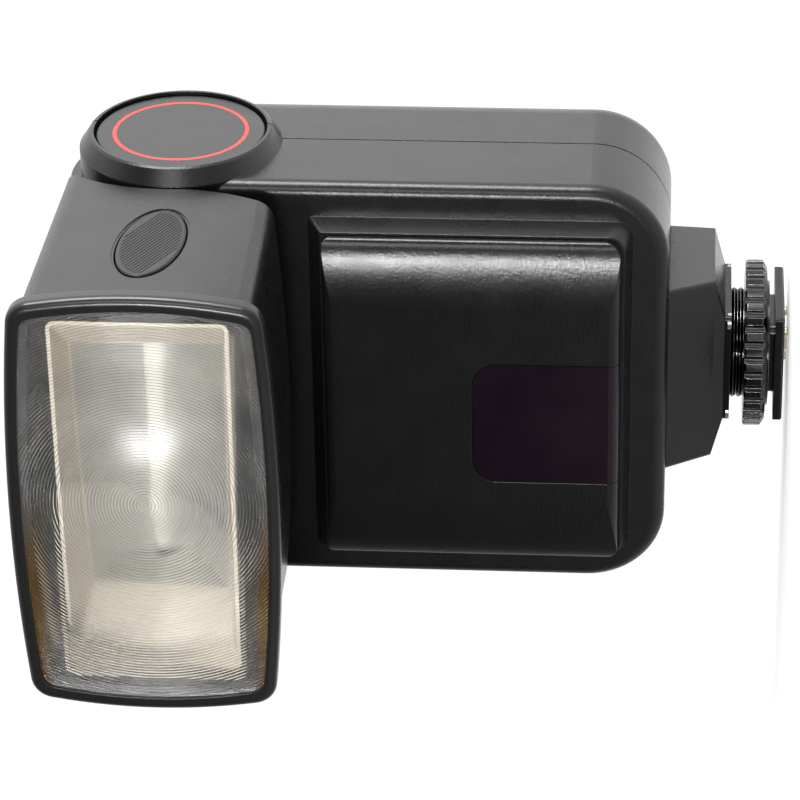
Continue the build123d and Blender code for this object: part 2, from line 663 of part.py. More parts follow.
def head_shells():
    """Hood in front, barrel cover behind."""
    mouth = [at_depth(crowned(HOOD_FRONT_SECTION, HOOD_CORNER, HEAD_WALL), y)
             for y in (HOOD_FRONT - 1, HOOD_FRONT)]
    shell = head_form(0) - head_form(HEAD_WALL) - loft(mouth, ruled=True)
    shell -= both_sides(rod_x(STUB_R + RUNNING, STUB_END - 2, 40, PIVOT_Y, PIVOT_Z))
    shell -= along_x(button_outline(BUTTON_GAP), 30.0, 40.0)
    shell -= along_x(button_outline(DISH_GAP), BUTTON_FACE - DISH_DEEP, 40.0)
    behind = rod_x(BARREL_R, -BARREL_HALF, BARREL_HALF, PIVOT_Y, PIVOT_Z)
    behind &= box(-50, 50, HEAD_SPLIT, 50, 0, 130)
    return shell - behind, shell & behind


def lens_bezel():
    """Frame round the lens, standing a little proud of the hood."""
    outer = extrude(at_depth(crowned(BEZEL_SECTION, BEZEL_CORNER), BEZEL_REAR),
                    amount=BEZEL_REAR - BEZEL_FRONT)
    outer = fillet(outer.faces().sort_by(Axis.Y)[0].edges(), BEZEL_ROUND)
    outer = fillet(outer.faces().sort_by(Axis.Y)[-1].edges(), BEZEL_REAR_ROUND)
    opening = extrude(at_depth(crowned(LENS_SECTION, LENS_CORNER, -0.05), LENS_FRONT + LENS_THICK),
                      amount=10)
    ledge = extrude(at_depth(crowned(LENS_SECTION, LENS_CORNER, LENS_LEDGE), HOOD_FRONT + 10), amount=30)
    socket = loft([at_depth(crowned(HOOD_FRONT_SECTION, HOOD_CORNER, -0.03), y)
                   for y in (HOOD_FRONT, HOOD_FRONT + 8)], ruled=True)
    return outer - opening - ledge - socket


def fresnel_lens():
    """Moulded lens plate that closes the front of the head."""
    return extrude(at_depth(crowned(LENS_SECTION, LENS_CORNER), LENS_FRONT + LENS_THICK),
                   amount=LENS_THICK)


def tilt_button():
    """Oval release button in the side of the hood, with its stem."""
    cap = along_x(button_outline(0), BUTTON_BACK, BUTTON_FACE)
    cap = fillet(cap.faces().sort_by(Axis.X)[-1].edges(), BUTTON_EDGE)
    return cap + rod_x(STEM_R, BUTTON_BACK - STEM_LENGTH, BUTTON_BACK, BUTTON_Y, BUTTON_Z)


def button_bracket():
    """Bridge behind the button that guides the stem and backs the spring."""
    inner, outer = BRIDGE_X
    low, high = BUTTON_Z - BRIDGE_HALF, BUTTON_Z + BRIDGE_HALF
    plate = box(inner, outer, BRIDGE_FRONT, BRIDGE_REAR, low, high)
    plate += box(outer, BRIDGE_REACH, BRIDGE_FRONT, BRIDGE_FRONT + BRIDGE_WALL, low, high)
    plate += box(outer, BRIDGE_REACH, BRIDGE_REAR - BRIDGE_WALL, BRIDGE_REAR, low, high)
    return plate - rod_x(STEM_R + RUNNING, inner - 1, outer + 1, BUTTON_Y, BUTTON_Z)


def button_spring():
    """Return spring round the stem, at its pressed length."""
    turns = []
    for i in range(3):
        ring = Torus(STEM_R + 3 * SPRING_WIRE, SPRING_WIRE)
        turns.append(Pos(SPRING_FIRST + i * SPRING_STEP, BUTTON_Y, BUTTON_Z) * Rot(0, 90, 0) * ring)
    return Compound(turns)


def parabola(grow):
    """Side view of the reflector trough, opening towards -Y."""
    depth = MOUTH_HALF_Z ** 2 / (4 * FOCUS)
    vertex = MOUTH_Y + depth + grow
    points = []
    for i in range(-6, 7):
        z = (MOUTH_HALF_Z + grow) * i / 6
        points.append((vertex - (depth + grow) * (i / 6) ** 2, OPTIC_Z + z))
    curve = Spline(*points)
    return make_face([curve, Line(points[-1], points[0])])


def reflector():
    """Polished trough behind the flash tube, closed at both ends."""
    reach = MOUTH_HALF_X + REFLECTOR_WALL
    trough = along_x(parabola(REFLECTOR_WALL), -reach, reach)
    trough -= along_x(parabola(0), -MOUTH_HALF_X, MOUTH_HALF_X)
    return trough - rod_x(TUBE_R + 0.1, -40, 40, tube_y(), OPTIC_Z)


def tube_y():
    return MOUTH_Y + MOUTH_HALF_Z ** 2 / (4 * FOCUS) - FOCUS


def flash_tube():
    """Glass discharge tube along the reflector's focus."""
    return rod_x(TUBE_R, -TUBE_HALF + TUBE_CAP, TUBE_HALF - TUBE_CAP, tube_y(), OPTIC_Z)


def tube_electrodes():
    """Metal end caps of the flash tube."""
    return both_sides(rod_x(TUBE_R, TUBE_HALF - TUBE_CAP, TUBE_HALF, tube_y(), OPTIC_Z))


def zoom_carriage():
    """Frame round the reflector's mouth, with a nut on one side and a slider on the other."""
    low, high = OPTIC_Z - MOUTH_HALF_Z, OPTIC_Z + MOUTH_HALF_Z
    wall = REFLECTOR_WALL + 0.05
    frame = along_y(span(-CARRIAGE_HALF, CARRIAGE_HALF, low - FRAME_RIM, high + FRAME_RIM, 1.5),
                    MOUTH_Y, MOUTH_Y + FRAME_THICK)
    frame -= along_y(span(-MOUTH_HALF_X - wall, MOUTH_HALF_X + wall, low - wall, high + wall), -60, 0)
    rear = MOUTH_Y + CLAW_LENGTH
    nut_end, nut_half = NUT_BLOCK
    arm_end, arm_below, arm_above = ARM_BLOCK
    nut = box(nut_end, -CARRIAGE_HALF + 0.2, MOUTH_Y, rear, OPTIC_Z - nut_half, OPTIC_Z + nut_half)
    arm = box(CARRIAGE_HALF - 0.2, arm_end, MOUTH_Y, rear, GUIDE_Z - arm_below, GUIDE_Z + arm_above)
    frame += nut + arm
    frame -= rod_y(SCREW_R + RUNNING, -60, 0, -SIDE_ROD_X, OPTIC_Z)
    return frame - rod_y(ROD_R + RUNNING, -60, 0, SIDE_ROD_X, GUIDE_Z)


def reflector_lip():
    """White card frame stuck round the reflector's mouth."""
    low, high = OPTIC_Z - MOUTH_HALF_Z, OPTIC_Z + MOUTH_HALF_Z
    sideways, upwards = LIP_RIM
    card = along_y(span(-MOUTH_HALF_X - sideways, MOUTH_HALF_X + sideways, low - upwards,
                        high + upwards, 1.2), MOUTH_Y - LIP_THICK, MOUTH_Y)
    return card - along_y(span(-MOUTH_HALF_X, MOUTH_HALF_X, low, high), -60, 0)


def light_funnel():
    """Pale flared sleeve between the lens and the reflector's foremost place."""
    def flare(grow):
        ends = []
        for (half, height), y in ((FUNNEL_MOUTH, FUNNEL_FRONT), (FUNNEL_THROAT, FUNNEL_REAR)):
            flat = span(-half - grow, half + grow, OPTIC_Z - height - grow, OPTIC_Z + height + grow,
                        0.8 + grow)
            ends.append(at_depth(flat, y))
        return loft(ends, ruled=True)
    return flare(FUNNEL_WALL) - flare(0)


def guide_rod():
    return rod_y(ROD_R, ROD_FRONT, ROD_REAR, SIDE_ROD_X, GUIDE_Z)


def lead_screw():
    """Fine screw that drives the carriage."""
    screw = rod_y(SCREW_R, SCREW_FRONT, SCREW_REAR, -SIDE_ROD_X, OPTIC_Z)
    return screw + rod_y(JOURNAL_R, ROD_FRONT, SCREW_FRONT, -SIDE_ROD_X, OPTIC_Z)


def zoom_motor():
    """Stepping motor behind the lead screw."""
    return rod_y(MOTOR_R, SCREW_REAR + 0.1, MOTOR_REAR, -SIDE_ROD_X, OPTIC_Z)


def rod_brackets():
    """Posts that hold the ends of the guide rod and the lead screw."""
    def post(side, wall, front, height):
        inner, outer = sorted((side * (SIDE_ROD_X - BRACKET_INSET), side * wall))
        return box(inner, outer, front, front + BRACKET_THICK, height - BRACKET_HALF,
                   height + BRACKET_HALF)
    front_wall, rear_wall, left_wall = BRACKET_WALLS
    rod_bore = rod_y(ROD_R + 0.01, ROD_FRONT, ROD_REAR, SIDE_ROD_X, GUIDE_Z)
    right = post(1, front_wall, BRACKET_FRONT, GUIDE_Z) - rod_bore
    rear = post(1, rear_wall, BRACKET_REAR, GUIDE_Z) - rod_bore
    left = post(-1, left_wall, BRACKET_FRONT, OPTIC_Z)
    left -= rod_y(JOURNAL_R + RUNNING, -60, -40, -SIDE_ROD_X, OPTIC_Z)
    return Compound([right, rear, left])


def head_board():
    """Circuit board across the barrel, with its drive chips."""
    return joined_boxes(HEAD_BOARD)


def trigger_coil():
    """Small coil that fires the tube."""
    return rod_x(COIL_R, *COIL_ENDS, *COIL_PLACE)


# ---- rear console ----------------------------------------------------------------------------
def centred_outline(x, z, half, grow=0.0, corner=0.0):
    """Rectangle of the console's lower row, from its middle and half sizes."""
    return span(x - half[0] - grow, x + half[0] + grow, z - half[1] - grow, z + half[1] + grow, corner)


def display_outline(inset, corner=0.0):
    return span(-LCD_HALF + inset, LCD_HALF - inset, LCD_BOTTOM + inset, LCD_TOP - inset, corner)


def soft_top(body, radius):
    """Rounds the edges of a console piece's rearmost face."""
    return fillet(body.faces().sort_by(Axis.Y)[-1].edges(), radius)


def rear_console():
    """Raised control plate on the rear shell, pierced for the display, keys, switch and lamp."""
    beyond = CONSOLE_REAR + 9
    plate = along_y(span(-CONSOLE_HALF, CONSOLE_HALF, CONSOLE_BOTTOM, CONSOLE_TOP, CONSOLE_CORNER),
                    BODY_REAR, CONSOLE_REAR)
    plate = soft_top(plate, CONSOLE_EDGE)
    plate -= along_y(display_outline(0, COVER_LEDGE), CONSOLE_REAR - COVER_THICK, beyond)
    plate -= along_y(display_outline(COVER_LEDGE), 0, beyond)
    for x in KEY_X:
        plate -= along_y(centred_outline(x, KEY_Z, KEY_HALF, KEY_GAP, KEY_CORNER), 0, beyond)
    plate -= rod_y(TEST_R + KEY_GAP, 0, beyond, TEST_X, LOWER_ROW_Z)
    recess = centred_outline(SWITCH_X, LOWER_ROW_Z, SWITCH_SLOT, 0, 1.0)
    plate -= along_y(recess, CONSOLE_REAR - SWITCH_DEEP, beyond)
    plate -= along_y(centred_outline(SWITCH_X, LOWER_ROW_Z, SWITCH_TAIL_SLOT), 0, beyond)
    return plate - rod_y(LAMP_BEAD_R + RUNNING, 0, beyond, LAMP_BEAD_X, LOWER_ROW_Z)


def key(x):
    """Console key, standing proud; it can be pushed in until it meets the shell."""
    body = along_y(centred_outline(x, KEY_Z, KEY_HALF, 0, KEY_CORNER), BODY_REAR + KEY_LIFT,
                   CONSOLE_REAR + KEY_PROUD)
    return soft_top(body, KEY_EDGE)


def test_key():
    body = rod_y(TEST_R, BODY_REAR + KEY_LIFT, CONSOLE_REAR + KEY_PROUD, TEST_X, LOWER_ROW_Z)
    return soft_top(body, KEY_EDGE)


def power_switch():
    """Sliding knob, at its off end."""
    x = SWITCH_X - SWITCH_TRAVEL / 2
    under = CONSOLE_REAR - SWITCH_DEEP + RUNNING
    knob = along_y(centred_outline(x, LOWER_ROW_Z, SWITCH_KNOB, 0, 0.9), under, CONSOLE_REAR + SWITCH_PROUD)
    for i in (-1, 0, 1):
        groove = x + i * 1.5
        knob -= box(groove - 0.25, groove + 0.25, CONSOLE_REAR + 0.5, 30, 0, 90)
    return knob + along_y(centred_outline(x, LOWER_ROW_Z, SWITCH_TAIL), BODY_REAR + 0.3, under)


def display_window():
    outline = display_outline(RUNNING, COVER_LEDGE - RUNNING)
    return along_y(outline, CONSOLE_REAR - COVER_THICK, CONSOLE_REAR - RUNNING)


def display_module():
    return along_y(display_outline(COVER_LEDGE + 0.2), BODY_REAR, CONSOLE_REAR - COVER_THICK - 0.3)


def ready_lamp():
    bead = rod_y(LAMP_BEAD_R, BODY_REAR, CONSOLE_REAR + LAMP_BEAD_PROUD, LAMP_BEAD_X, LOWER_ROW_Z)
    return soft_top(bead, 0.5)


# ---- cells, door and electronics -------------------------------------------------------------
def battery_door():
    """Door in the -X wall, hinged along its lower edge."""
    panel = battery_opening(0) & box(-BODY_HALF, -BODY_HALF + DOOR_THICK, -40, 40, DOOR_HINGE_Z, 90)
    barrel = rod_y(DOOR_BARREL_R, DOOR_FRONT, DOOR_REAR, DOOR_HINGE_X, DOOR_HINGE_Z)
    door = panel + barrel - rod_y(DOOR_PIN_R + RUNNING, *DOOR_PIN, DOOR_HINGE_X, DOOR_HINGE_Z)
    count, first, pitch, half, deep = DOOR_GRIP
    for i in range(count):
        z = DOOR_TOP - first - i * pitch
        door -= box(-40, -BODY_HALF + deep, DOOR_FRONT + 6, DOOR_REAR - 6, z - half, z + half)
    return door


def door_pin():
    return rod_y(DOOR_PIN_R, *DOOR_PIN, DOOR_HINGE_X, DOOR_HINGE_Z)


def cell(x, y):
    """Round cell with its raised contact."""
    nub_r, nub_height = CELL_NUB
    top = CELL_BOTTOM + CELL_LENGTH
    body = fillet(rod_z(CELL_R, CELL_BOTTOM, top - nub_height, x, y).edges(), 0.5)
    return body + rod_z(nub_r, top - nub_height, top, x, y)


def battery_tray():
    """Moulded cage: floor, roof and one wall between the cells and the circuit."""
    return joined_boxes(TRAY) & body_form(WALL + 0.1)


def cell_springs():
    """Tapered contact springs under the cells."""
    middle = CELL_BOTTOM - SPRING_CONE[2] / 2
    return [Pos(x, y, middle) * Cone(*SPRING_CONE) for x in CELL_X for y in CELL_Y]


def cell_contacts():
    """Flat contact strips above the cells."""
    half, reach = STRIP
    front, rear = CELL_Y[0] - reach, CELL_Y[1] + reach
    return [box(x - half, x + half, front, rear, CELL_BOTTOM + CELL_LENGTH, TRAY_TOP) for x in CELL_X]


def flash_capacitor():
    return fillet(rod_z(*CAPACITOR).edges(), 0.8)


def main_board():
    """Power board with its chips."""
    return joined_boxes(MAIN_BOARD)


def control_board():
    """Board behind the console."""
    return joined_boxes(CONTROL_BOARD)


def transformer():
    """Step-up transformer above the capacitor."""
    return joined_boxes(TRANSFORMER)


parts = {}
parts["shoe_foot"] = shoe_foot()
parts["contact_pins"] = contact_pins()
parts["threaded_collar"] = threaded_collar()
parts["lock_ring"] = lock_ring()
parts["ring_washer"] = ring_washer()
parts["shoe_base_plate"] = shoe_base_plate()
parts["foot_screws"] = Compound(foot_screw(0))
parts["foot_block"] = foot_block()
parts["front_shell"], parts["rear_shell"] = body_shells()
parts["shell_screws"] = Compound(shell_screw(0))
parts["side_cap_right"] = side_cap()
parts["side_cap_left"] = mirror(side_cap(), about=Plane.YZ)
parts["cap_ring_right"] = ring_line(0)
parts["cap_ring_left"] = mirror(ring_line(0), about=Plane.YZ)
parts["pivot_stub_right"] = pivot_stub()
parts["pivot_stub_left"] = mirror(pivot_stub(), about=Plane.YZ)
parts["front_panel_cover"], parts["assist_window"] = front_panel_and_window()
parts["assist_lamp_lens"] = assist_lamp_lens()
parts["assist_lamp_holder"] = assist_lamp_holder()
parts["head_hood"], parts["head_rear_cover"] = head_shells()
parts["lens_bezel"] = lens_bezel()
parts["fresnel_lens"] = fresnel_lens()
parts["tilt_button"] = tilt_button()
parts["button_bracket"] = button_bracket()
parts["button_spring"] = button_spring()
parts["reflector"] = reflector()
parts["reflector_lip"] = reflector_lip()
parts["light_funnel"] = light_funnel()
parts["flash_tube"] = flash_tube()
parts["tube_electrodes"] = tube_electrodes()
parts["zoom_carriage"] = zoom_carriage()
parts["guide_rod"] = guide_rod()
parts["lead_screw"] = lead_screw()
parts["zoom_motor"] = zoom_motor()
parts["rod_brackets"] = rod_brackets()
parts["head_board"] = head_board()
parts["trigger_coil"] = trigger_coil()
parts["rear_console"] = rear_console()
for key_name, key_x in zip(KEY_NAMES, KEY_X):
    parts[key_name] = key(key_x)
parts["test_key"] = test_key()
parts["power_switch"] = power_switch()
parts["display_window"] = display_window()
parts["display_module"] = display_module()
parts["ready_lamp"] = ready_lamp()
parts["battery_door"] = battery_door()
parts["door_pin"] = door_pin()
parts["cells"] = Compound([cell(x, y) for x in CELL_X for y in CELL_Y])
parts["battery_tray"] = battery_tray()
parts["cell_springs"] = Compound(cell_springs())
parts["cell_contacts"] = Compound(cell_contacts())
parts["flash_capacitor"] = flash_capacitor()
parts["main_board"] = main_board()
parts["control_board"] = control_board()
parts["transformer"] = transformer()

os.makedirs("parts", exist_ok=True)
for name, shape in parts.items():
    print(name, round(shape.volume, 1), len(shape.solids()))
    export_step(shape, f"parts/{name}.step")
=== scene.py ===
"""Looks for the shoe-mount speedlight flash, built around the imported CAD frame. Metres."""

import json
import math

import bmesh
import bpy
from mathutils import Matrix, Vector


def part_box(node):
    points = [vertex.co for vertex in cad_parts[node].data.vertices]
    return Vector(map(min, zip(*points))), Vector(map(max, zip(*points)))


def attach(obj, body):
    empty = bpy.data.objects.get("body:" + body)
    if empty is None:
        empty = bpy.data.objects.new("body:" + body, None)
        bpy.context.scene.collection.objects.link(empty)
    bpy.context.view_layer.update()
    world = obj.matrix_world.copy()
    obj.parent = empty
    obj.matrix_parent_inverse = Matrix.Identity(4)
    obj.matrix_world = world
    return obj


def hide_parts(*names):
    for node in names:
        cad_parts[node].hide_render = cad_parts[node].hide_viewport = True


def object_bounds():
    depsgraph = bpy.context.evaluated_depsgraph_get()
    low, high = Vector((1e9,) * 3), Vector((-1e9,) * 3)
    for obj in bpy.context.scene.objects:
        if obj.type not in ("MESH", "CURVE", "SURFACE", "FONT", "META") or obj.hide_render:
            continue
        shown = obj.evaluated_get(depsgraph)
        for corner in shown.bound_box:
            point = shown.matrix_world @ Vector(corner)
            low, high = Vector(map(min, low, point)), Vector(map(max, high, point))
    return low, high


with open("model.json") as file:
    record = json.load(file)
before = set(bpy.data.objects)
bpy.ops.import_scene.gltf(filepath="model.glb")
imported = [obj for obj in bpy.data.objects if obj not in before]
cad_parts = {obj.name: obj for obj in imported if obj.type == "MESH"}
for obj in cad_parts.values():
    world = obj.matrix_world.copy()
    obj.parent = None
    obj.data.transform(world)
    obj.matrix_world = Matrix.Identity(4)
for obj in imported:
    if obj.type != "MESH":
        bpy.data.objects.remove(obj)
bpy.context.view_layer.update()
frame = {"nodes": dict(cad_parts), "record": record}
MM = 0.001

# ---- camera -----------------------------------------------------------------------------------
CAMERA_PLACE = Vector((0.29594, -0.54965, 0.01731))
CAMERA_RIGHT = Vector((-0.01567, 0.07346, -0.99717))
CAMERA_UP = Vector((0.87281, 0.48755, 0.02221))
LENS_MM = 171.7
SENSOR_MM = 36.0
NEAREST, FARTHEST = 0.01, 50.0


def make_camera():
    """The camera, rolled so that the flash lies on its side in the picture."""
    data = bpy.data.cameras.new("camera")
    data.lens = LENS_MM
    data.sensor_width = SENSOR_MM
    data.clip_start, data.clip_end = NEAREST, FARTHEST
    camera = bpy.data.objects.new("camera", data)
    bpy.context.scene.collection.objects.link(camera)
    right = CAMERA_RIGHT.normalized()
    up = (CAMERA_UP - CAMERA_UP.dot(right) * right).normalized()
    back = right.cross(up)
    turn = Matrix((right, up, back)).transposed()
    camera.matrix_world = Matrix.Translation(CAMERA_PLACE) @ turn.to_4x4()
    bpy.context.scene.camera = camera


# ---- node helpers -----------------------------------------------------------------------------
def new_material(name):
    """A material with a Principled shader: returns it, its nodes, its links and the shader."""
    material = bpy.data.materials.new(name)
    material.use_nodes = True
    nodes, links = material.node_tree.nodes, material.node_tree.links
    return material, nodes, links, nodes["Principled BSDF"]


def feed(links, socket, value):
    """Gives an input another node's output, a colour of three numbers, or a number."""
    if isinstance(value, bpy.types.NodeSocket):
        links.new(value, socket)
    elif isinstance(value, (tuple, list)):
        socket.default_value = (*value, 1)
    else:
        socket.default_value = value


def object_coordinates(nodes):
    return nodes.new("ShaderNodeTexCoord").outputs["Object"]


def split_coordinates(nodes, links, coordinates):
    """The X, Y and Z outputs of some coordinates."""
    place = nodes.new("ShaderNodeSeparateXYZ")
    links.new(coordinates, place.inputs[0])
    return place.outputs


def noise(nodes, links, scale, detail=2.0, roughness=0.5, stretch=None):
    """Noise over the object's own coordinates; scale is in features per metre."""
    texture = nodes.new("ShaderNodeTexNoise")
    texture.inputs["Scale"].default_value = scale
    texture.inputs["Detail"].default_value = detail
    texture.inputs["Roughness"].default_value = roughness
    source = object_coordinates(nodes)
    if stretch:
        mapping = nodes.new("ShaderNodeMapping")
        mapping.inputs["Scale"].default_value = stretch
        links.new(source, mapping.inputs["Vector"])
        source = mapping.outputs["Vector"]
    links.new(source, texture.inputs["Vector"])
    return texture.outputs["Fac"]


def ramp(nodes, links, source, span, low_value, high_value, smooth=False):
    """Maps source from span's first to its second value to low_value..high_value, clamped."""
    mapped = nodes.new("ShaderNodeMapRange")
    if smooth:
        mapped.interpolation_type = "SMOOTHSTEP"
    mapped.inputs["From Min"].default_value = span[0]
    mapped.inputs["From Max"].default_value = span[1]
    mapped.inputs["To Min"].default_value = low_value
    mapped.inputs["To Max"].default_value = high_value
    links.new(source, mapped.inputs["Value"])
    return mapped.outputs["Result"]


def mix(nodes, links, factor, first, second, kind="RGBA"):
    """Goes from first to second as the factor rises; kind is RGBA or FLOAT."""
    mixed = nodes.new("ShaderNodeMix")
    mixed.data_type = kind
    links.new(factor, mixed.inputs["Factor"])
    feed(links, mixed.inputs["A"], first)
    feed(links, mixed.inputs["B"], second)
    return mixed.outputs["Result"]


def arithmetic(nodes, links, operation, first, second=None):
    """One Math node on one or two values."""
    node = nodes.new("ShaderNodeMath")
    node.operation = operation
    feed(links, node.inputs[0], first)
    if second is not None:
        feed(links, node.inputs[1], second)
    return node.outputs[0]


def mix_shader(nodes, links, factor, first, second):
    mixed = nodes.new("ShaderNodeMixShader")
    for socket, source in zip(mixed.inputs, (factor, first, second)):
        links.new(source, socket)
    return mixed.outputs[0]


def bump(nodes, links, height, distance, below=None):
    """A normal that follows height, over the normal below it."""
    node = nodes.new("ShaderNodeBump")
    node.inputs["Distance"].default_value = distance
    node.inputs["Strength"].default_value = 1.0
    links.new(height, node.inputs["Height"])
    if below:
        links.new(below, node.inputs["Normal"])
    return node.outputs["Normal"]


def is_camera_ray(nodes):
    return nodes.new("ShaderNodeLightPath").outputs["Is Camera Ray"]


# ---- materials --------------------------------------------------------------------------------
# A scale is in features per metre, a depth in millimetres.
CLOUD = (4.0, 0.6)                   # detail and roughness of the noise behind soft patches
PATCHES = (0.3, 0.7)                 # the part of a noise's range that gloss and haze follow

BEVEL_SAMPLES = 6
WORN = (1.0, 0.93)                   # how well the bevelled normal meets the face, unworn to worn

PLASTIC_EDGE = 0.18 * MM
PLASTIC_GRAIN, PLASTIC_DEPTH = 2200.0, 0.030
PLASTIC_FINE = (3.0, 0.65)           # detail and roughness of the grain
PLASTIC_MOTTLE, PLASTIC_SPREAD = 60.0, 0.14
PLASTIC_GLOSS, PLASTIC_SHEEN = 180.0, (3.0, 0.6)
PLASTIC_SMOOTHER, PLASTIC_ROUGHER = 0.02, 0.03
PLASTIC_POLISH = 0.75                # roughness of a worn edge, as a share of the plastic's

DUST_COLOUR = (0.22, 0.21, 0.2)
DUST_CELLS, DUST_SIZE = 330.0, (0.045, 0.030)
DUST_COVER = 0.4
DUST_REGION, DUST_SPARSE = 35.0, (0.60, 0.68)

METAL_EDGE = 0.12 * MM
METAL_CLOUD, METAL_SPREAD = 220.0, 0.2
METAL_BARE, METAL_WEAR = 0.6, 0.7    # how much lighter bare metal is, and how much of it shows
METAL_SMOOTHER, METAL_ROUGHER = 0.05, 0.06
METAL_LINES = (2.0, 0.6)             # detail and roughness of the scratches
METAL_TURNED = (1.0, 1.0, 6.0)       # stretch that turns noise into scratches round Z

CLEAR_IOR = 1.49
CLEAR_CLOUD = 90.0
CLEAR_HAZE, CLEAR_HAZY = 0.05, (0.35, 0.7)
CLEAR_DARKER = 0.97
MILK_SPREAD = 0.15

COAT_GRAIN = 12                      # times finer than the coat's mottling
COAT_GLOSS = 0.05
COAT_SMOOTHEST = 0.02


def shades(colour, spread):
    """A colour darker and lighter by a share."""
    return [c * (1 - spread) for c in colour], [min(c * (1 + spread), 1) for c in colour]


def worn_edges(nodes, links, radius):
    """The softened normal of sharp edges, and a mask that is bright along them."""
    soft = nodes.new("ShaderNodeBevel")
    soft.samples = BEVEL_SAMPLES
    soft.inputs["Radius"].default_value = radius
    match = nodes.new("ShaderNodeVectorMath")
    match.operation = "DOT_PRODUCT"
    links.new(soft.outputs[0], match.inputs[0])
    links.new(nodes.new("ShaderNodeNewGeometry").outputs["Normal"], match.inputs[1])
    return soft.outputs[0], ramp(nodes, links, match.outputs["Value"], WORN, 0.0, 1.0)


def dust_mask(nodes, links):
    """Round specks, in some regions only."""
    specks = nodes.new("ShaderNodeTexVoronoi")
    specks.inputs["Scale"].default_value = DUST_CELLS
    specks.inputs["Randomness"].default_value = 1.0
    links.new(object_coordinates(nodes), specks.inputs["Vector"])
    dust = ramp(nodes, links, specks.outputs["Distance"], DUST_SIZE, 0.0, DUST_COVER)
    region = ramp(nodes, links, noise(nodes, links, DUST_REGION), DUST_SPARSE, 0.0, 1.0)
    return arithmetic(nodes, links, "MULTIPLY", dust, region)


def grained_plastic(name, colour, roughness, grain=PLASTIC_GRAIN, depth=PLASTIC_DEPTH):
    """Moulded plastic: fine spark-eroded grain, dust specks, and edges polished by handling."""
    material, nodes, links, shader = new_material(name)
    mottle = noise(nodes, links, PLASTIC_MOTTLE, *CLOUD)
    tint = mix(nodes, links, mottle, *shades(colour, PLASTIC_SPREAD))
    dusty = mix(nodes, links, dust_mask(nodes, links), tint, DUST_COLOUR)
    links.new(dusty, shader.inputs["Base Color"])
    soft, worn = worn_edges(nodes, links, PLASTIC_EDGE)
    sheen = noise(nodes, links, PLASTIC_GLOSS, *PLASTIC_SHEEN)
    gloss = ramp(nodes, links, sheen, PATCHES,
                 roughness - PLASTIC_SMOOTHER, roughness + PLASTIC_ROUGHER)
    polished = mix(nodes, links, worn, gloss, roughness * PLASTIC_POLISH, kind="FLOAT")
    links.new(polished, shader.inputs["Roughness"])
    fine = noise(nodes, links, grain, *PLASTIC_FINE)
    links.new(bump(nodes, links, fine, depth * MM, below=soft), shader.inputs["Normal"])
    return material


def worn_metal(name, colour, roughness, scratch=900.0, depth=0.004, bare=None):
    """Plated or blackened metal: turned scratches, cloudy gloss, brighter along its edges."""
    material, nodes, links, shader = new_material(name)
    shader.inputs["Metallic"].default_value = 1.0
    cloud = noise(nodes, links, METAL_CLOUD, *CLOUD)
    soft, worn = worn_edges(nodes, links, METAL_EDGE)
    wear = ramp(nodes, links, worn, (0.0, 1.0), 0.0, METAL_WEAR)
    tint = mix(nodes, links, cloud, *shades(colour, METAL_SPREAD))
    bared = bare or shades(colour, METAL_BARE)[1]
    links.new(mix(nodes, links, wear, tint, bared), shader.inputs["Base Color"])
    gloss = ramp(nodes, links, cloud, PATCHES,
                 roughness - METAL_SMOOTHER, roughness + METAL_ROUGHER)
    links.new(gloss, shader.inputs["Roughness"])
    lines = noise(nodes, links, scratch, *METAL_LINES, stretch=METAL_TURNED)
    links.new(bump(nodes, links, lines, depth * MM, below=soft), shader.inputs["Normal"])
    return material


def amber_tint(nodes, links, tint, rim):
    """The tint, amber near a plate's two long edges and towards one end."""
    place = split_coordinates(nodes, links, object_coordinates(nodes))
    offset = arithmetic(nodes, links, "SUBTRACT", place["Z"], rim["middle"])
    spread = arithmetic(nodes, links, "ABSOLUTE", offset)
    edges = ramp(nodes, links, spread, rim["edges"], 0.0, 1.0)
    end = ramp(nodes, links, place["X"], rim["end"], 0.0, 1.0)
    both = arithmetic(nodes, links, "MULTIPLY", edges, end)
    return mix(nodes, links, both, tint, rim["colour"])


def clear_material(name, colour, roughness=0.02, amber_edges=None, milk=0.0):
    """Clear plastic or glass that lets shadow rays through, with an optional amber tint laid by
    position near two edges and one end, and an optional milky haze.
    """
    material, nodes, links, shader = new_material(name)
    shader.inputs["Transmission Weight"].default_value = 1.0
    shader.inputs["IOR"].default_value = CLEAR_IOR
    cloud = noise(nodes, links, CLEAR_CLOUD, *CLOUD)
    gloss = ramp(nodes, links, cloud, CLEAR_HAZY, roughness, roughness + CLEAR_HAZE)
    links.new(gloss, shader.inputs["Roughness"])
    tint = mix(nodes, links, cloud, colour, [c * CLEAR_DARKER for c in colour])
    if amber_edges:
        tint = amber_tint(nodes, links, tint, amber_edges)
    links.new(tint, shader.inputs["Base Color"])
    body = shader.outputs[0]
    if milk:
        veil = nodes.new("ShaderNodeBsdfDiffuse")
        links.new(tint, veil.inputs["Color"])
        clouded = ramp(nodes, links, cloud, PATCHES,
                       milk * (1 - MILK_SPREAD), milk * (1 + MILK_SPREAD))
        body = mix_shader(nodes, links, clouded, body, veil.outputs[0])
    passing = nodes.new("ShaderNodeBsdfTransparent")
    passing.inputs["Color"].default_value = (*[c ** 0.5 for c in colour], 1)
    shadow = nodes.new("ShaderNodeLightPath").outputs["Is Shadow Ray"]
    surface = mix_shader(nodes, links, shadow, body, passing.outputs[0])
    links.new(surface, nodes["Material Output"].inputs["Surface"])
    return material


